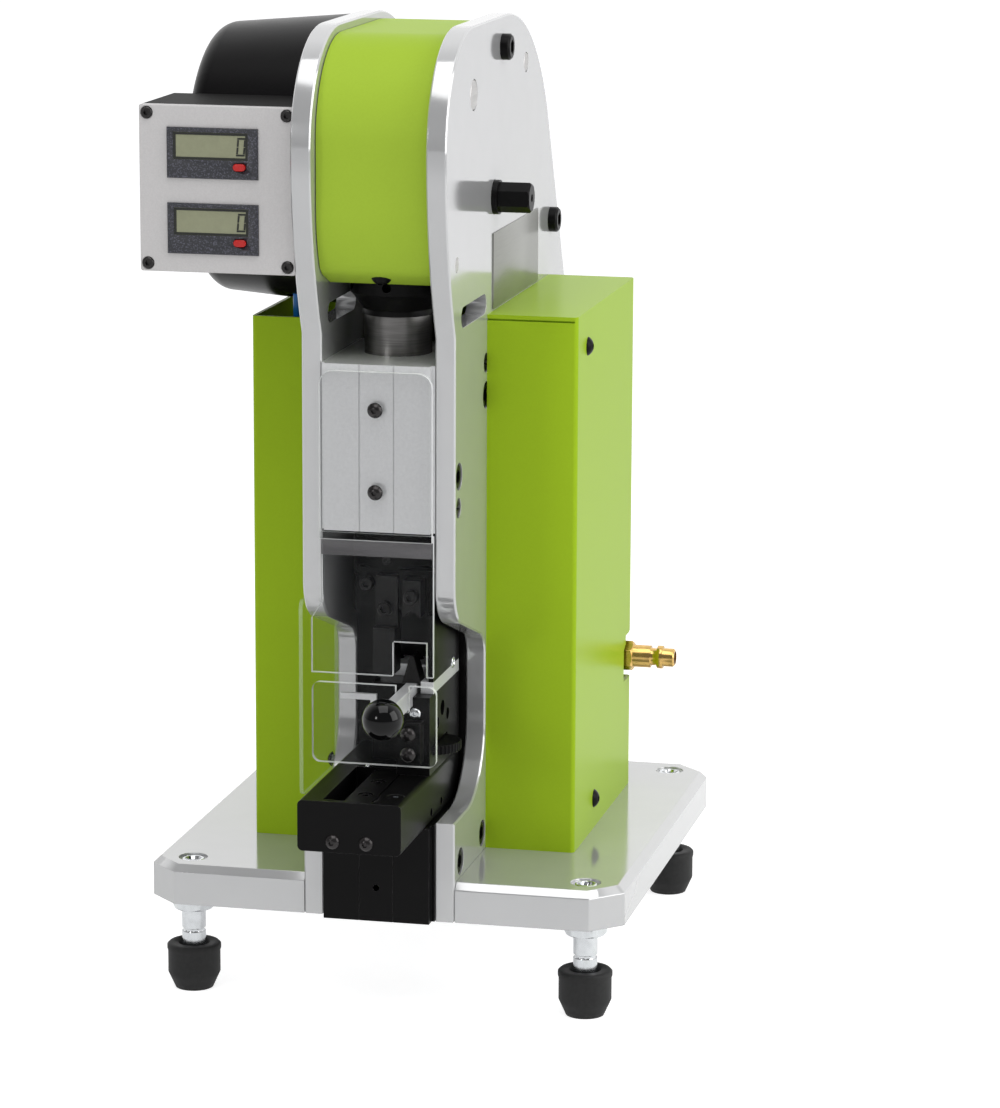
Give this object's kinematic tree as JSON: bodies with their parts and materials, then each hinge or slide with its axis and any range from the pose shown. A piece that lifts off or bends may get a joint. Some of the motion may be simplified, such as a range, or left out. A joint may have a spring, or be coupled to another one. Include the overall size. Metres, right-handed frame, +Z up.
{
  "type": "hose crimping machine",
  "caption": "Bench-top pneumatic crimping press: C-frame plates on a split base, round ram with capstan nut, tooling, slide with ball knob, counters, clear guards and green sheet covers.",
  "frame": {"origin": "under the middle of the press, on the bench surface under the four feet", "axes": "+Z up, +X to the right seen from the operator, +Y away from the operator"},
  "size_m": [0.24, 0.3202, 0.4815],
  "materials": {
    "plate_paint": "light grey gloss paint",
    "green_paint": "green gloss paint",
    "black_metal": "black oxide, satin",
    "grey_metal": "light grey, satin",
    "bright_steel": "ground and turned",
    "chrome": "bright zinc plate",
    "brass": "turned",
    "bronze": "plain",
    "rubber": "matt",
    "black_gloss": "gloss moulding",
    "case_grey": "fine texture",
    "clear_sheet": "clear polycarbonate, polished edges",
    "display_glass": "olive liquid-crystal glass",
    "red_plastic": "smooth",
    "alloy": "bead blasted",
    "blue_hose": "smooth tube"
  },
  "bodies": {
    "frame": {"base_plate_right": "plate_paint", "base_plate_left": "plate_paint", "side_plate_right": "plate_paint", "side_plate_left": "plate_paint", "top_hood": "green_paint", "rear_cover": "green_paint", "side_cover_right": "green_paint", "side_cover_left": "green_paint", "rear_wall": "black_metal", "front_column": "black_metal", "die_block": "black_metal", "slide_trough": "black_metal", "clamp_plugs": "black_metal", "cap_screws": "black_metal", "button_screws": "black_metal", "cover_screws": "black_metal", "lid_screws": "black_metal", "drum_screws": "black_metal", "base_spacer": "grey_metal", "rear_brackets": "grey_metal", "spacers": "grey_metal", "guide_block": "grey_metal", "cross_pins": "bright_steel", "clamp_plate": "bright_steel", "guard_angle": "bright_steel", "foot_studs": "chrome", "foot_nuts": "chrome", "air_plug": "brass", "shaft_bushes": "bronze", "rubber_feet": "rubber", "drum_cover": "black_gloss", "counters": "black_gloss", "counter_case": "case_grey", "counter_lid": "case_grey", "front_guard": "clear_sheet", "lower_guard": "clear_sheet", "side_guard": "clear_sheet", "displays": "display_glass", "inlet_block": "alloy", "valve_block": "alloy", "rotary_actuator": "alloy", "push_fittings": "alloy", "air_hose": "blue_hose"},
    "spindle": {"spindle": "bright_steel"},
    "drive": {"drive_shaft": "black_metal", "rocker_lever": "bright_steel", "drive_rollers": "bright_steel"},
    "ram": {"ram": "bright_steel", "nut_ring": "black_metal", "tool_holder": "black_metal", "hold_down": "bright_steel", "crimp_punch": "bright_steel", "tool_screws": "bright_steel"},
    "nut": {"adjusting_nut": "black_metal"},
    "slide": {"slide_bar": "bright_steel", "anvil": "bright_steel", "ball_knob": "black_gloss"},
    "wheel": {"thumb_wheel": "black_metal"},
    "upper_button": {"reset_button_upper": "red_plastic"},
    "lower_button": {"reset_button_lower": "red_plastic"}
  },
  "joints": [
    {"name": "ram_stroke", "type": "slide", "parent": "frame", "child": "spindle", "axis": [0, 0, -1], "range_m": [0, 0.018]},
    {"name": "drive_swing", "type": "hinge", "parent": "frame", "child": "drive", "pos_m": [0, -0.017, 0.394], "axis": [1, 0, 0], "range_deg": [0, 23.66]},
    {"name": "ram_adjust", "type": "slide", "parent": "spindle", "child": "ram", "axis": [0, 0, -1], "range_m": [-0.00075, 0.00075]},
    {"name": "nut_turn", "type": "hinge", "parent": "ram", "child": "nut", "pos_m": [0, -0.061, 0.357], "axis": [0, 0, 1], "range_deg": [-180, 180]},
    {"name": "knob_slide", "type": "slide", "parent": "frame", "child": "slide", "axis": [0, 1, 0], "range_m": [-0.015, 0.006]},
    {"name": "wheel_turn", "type": "hinge", "parent": "frame", "child": "wheel", "pos_m": [0.022, -0.079, 0.129], "axis": [0, 0, 1], "range_deg": [-180, 180]},
    {"name": "upper_reset", "type": "slide", "parent": "frame", "child": "upper_button", "axis": [0, 1, 0], "range_m": [0, 0.0008], "stiffness_N_per_m": 200},
    {"name": "lower_reset", "type": "slide", "parent": "frame", "child": "lower_button", "axis": [0, 1, 0], "range_m": [0, 0.0008], "stiffness_N_per_m": 200}
  ],
  "couplings": [
    {"joint": "drive_swing", "follows": "ram_stroke", "rad_per_m": 22.889},
    {"joint": "ram_adjust", "follows": "nut_turn", "m_per_rad": 0.00023873}
  ]
}
